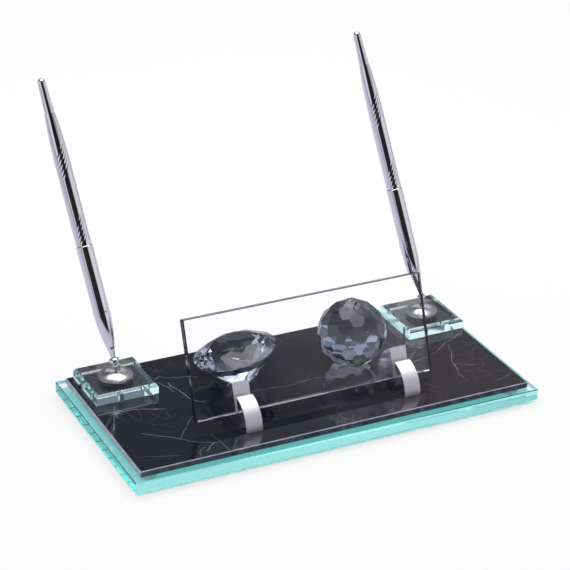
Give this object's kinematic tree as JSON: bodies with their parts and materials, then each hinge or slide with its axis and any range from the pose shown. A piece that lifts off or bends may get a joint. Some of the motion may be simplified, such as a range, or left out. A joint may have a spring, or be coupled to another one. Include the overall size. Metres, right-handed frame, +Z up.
{
  "type": "desk pen and name plate set",
  "caption": "Marble plate on a clear glass base with leaning pens in ball sockets on glass blocks, a blank clear name plate in slotted brackets, a cut glass diamond and a cut glass ball.",
  "frame": {"origin": "on the desk plane at the centre of the set's bounding box: midway along the base, and midway between the base's front edge and the pens' tips", "axes": "+X along the long side to the right of someone facing the name plate, +Y to the back, +Z up"},
  "size_m": [0.25, 0.1612, 0.1803],
  "materials": {
    "clear_glass": "polished clear float glass with a green edge",
    "plate_glass": "polished clear glass",
    "cut_glass": "flat polished facets",
    "dark_marble": "mirror-polished dark stone with pale veins",
    "clear_bumper": "clear soft bumper",
    "brushed_aluminium": "fine brushed",
    "satin_chrome": "bright plated",
    "pen_chrome": "mirror plated",
    "screw_steel": "plated",
    "refill_steel": "plain",
    "brass": "turned",
    "nylon": "plain"
  },
  "bodies": {
    "base": {"base_glass": "clear_glass", "base_feet": "clear_bumper", "marble_plate": "dark_marble", "left_pen_block": "clear_glass", "right_pen_block": "clear_glass", "left_socket_flange": "satin_chrome", "right_socket_flange": "satin_chrome", "socket_screws": "screw_steel", "left_plate_bracket": "brushed_aluminium", "right_plate_bracket": "brushed_aluminium", "bracket_screws": "screw_steel", "crystal_diamond": "cut_glass", "crystal_ball": "cut_glass"},
    "left_swivel": {"left_socket_liner": "nylon"},
    "left_holder": {"left_socket_collar": "satin_chrome"},
    "left_pen": {"left_pen_tip": "pen_chrome", "left_pen_lower_barrel": "pen_chrome", "left_pen_sleeve": "brass"},
    "left_pen_top": {"left_pen_upper_barrel": "pen_chrome", "left_pen_tail": "pen_chrome", "left_pen_twist_cam": "brass"},
    "left_ink": {"left_pen_plunger": "nylon", "left_pen_refill": "refill_steel"},
    "right_swivel": {"right_socket_liner": "nylon"},
    "right_holder": {"right_socket_collar": "satin_chrome"},
    "right_pen": {"right_pen_tip": "pen_chrome", "right_pen_lower_barrel": "pen_chrome", "right_pen_sleeve": "brass"},
    "right_pen_top": {"right_pen_upper_barrel": "pen_chrome", "right_pen_tail": "pen_chrome", "right_pen_twist_cam": "brass"},
    "right_ink": {"right_pen_plunger": "nylon", "right_pen_refill": "refill_steel"},
    "plate": {"name_plate": "plate_glass"}
  },
  "joints": [
    {"name": "left_socket_swivel", "type": "hinge", "parent": "base", "child": "left_swivel", "pos_m": [-0.0974, 0.01813, 0.0257], "axis": [0, 0, 1], "continuous": true},
    {"name": "left_socket_tilt", "type": "hinge", "parent": "left_swivel", "child": "left_holder", "pos_m": [-0.0974, 0.01813, 0.0257], "axis": [-0.965, -0.2622, 0], "range_deg": [-22.5, 5]},
    {"name": "left_pen_lift", "type": "slide", "parent": "left_holder", "child": "left_pen", "axis": [-0.1003, 0.3693, 0.9239], "range_m": [0, 0.06]},
    {"name": "left_pen_twist", "type": "hinge", "parent": "left_pen", "child": "left_pen_top", "pos_m": [-0.0974, 0.01813, 0.0257], "axis": [-0.1003, 0.3693, 0.9239], "range_deg": [0, 180]},
    {"name": "left_refill_feed", "type": "slide", "parent": "left_pen", "child": "left_ink", "axis": [-0.1003, 0.3693, 0.9239], "range_m": [0, 0.003]},
    {"name": "right_socket_swivel", "type": "hinge", "parent": "base", "child": "right_swivel", "pos_m": [0.10155, 0.01813, 0.0257], "axis": [0, 0, 1], "continuous": true},
    {"name": "right_socket_tilt", "type": "hinge", "parent": "right_swivel", "child": "right_holder", "pos_m": [0.10155, 0.01813, 0.0257], "axis": [-0.9613, -0.2756, 0], "range_deg": [-22.5, 5]},
    {"name": "right_pen_lift", "type": "slide", "parent": "right_holder", "child": "right_pen", "axis": [-0.1055, 0.3679, 0.9239], "range_m": [0, 0.06]},
    {"name": "right_pen_twist", "type": "hinge", "parent": "right_pen", "child": "right_pen_top", "pos_m": [0.10155, 0.01813, 0.0257], "axis": [-0.1055, 0.3679, 0.9239], "range_deg": [0, 180]},
    {"name": "right_refill_feed", "type": "slide", "parent": "right_pen", "child": "right_ink", "axis": [-0.1055, 0.3679, 0.9239], "range_m": [0, 0.003]},
    {"name": "name_plate_lift", "type": "slide", "parent": "base", "child": "plate", "axis": [0, 0.3355, 0.9421], "range_m": [0, 0.04]}
  ],
  "couplings": [
    {"joint": "left_refill_feed", "follows": "left_pen_twist", "m_per_rad": 0.000954},
    {"joint": "right_refill_feed", "follows": "right_pen_twist", "m_per_rad": 0.000954}
  ]
}
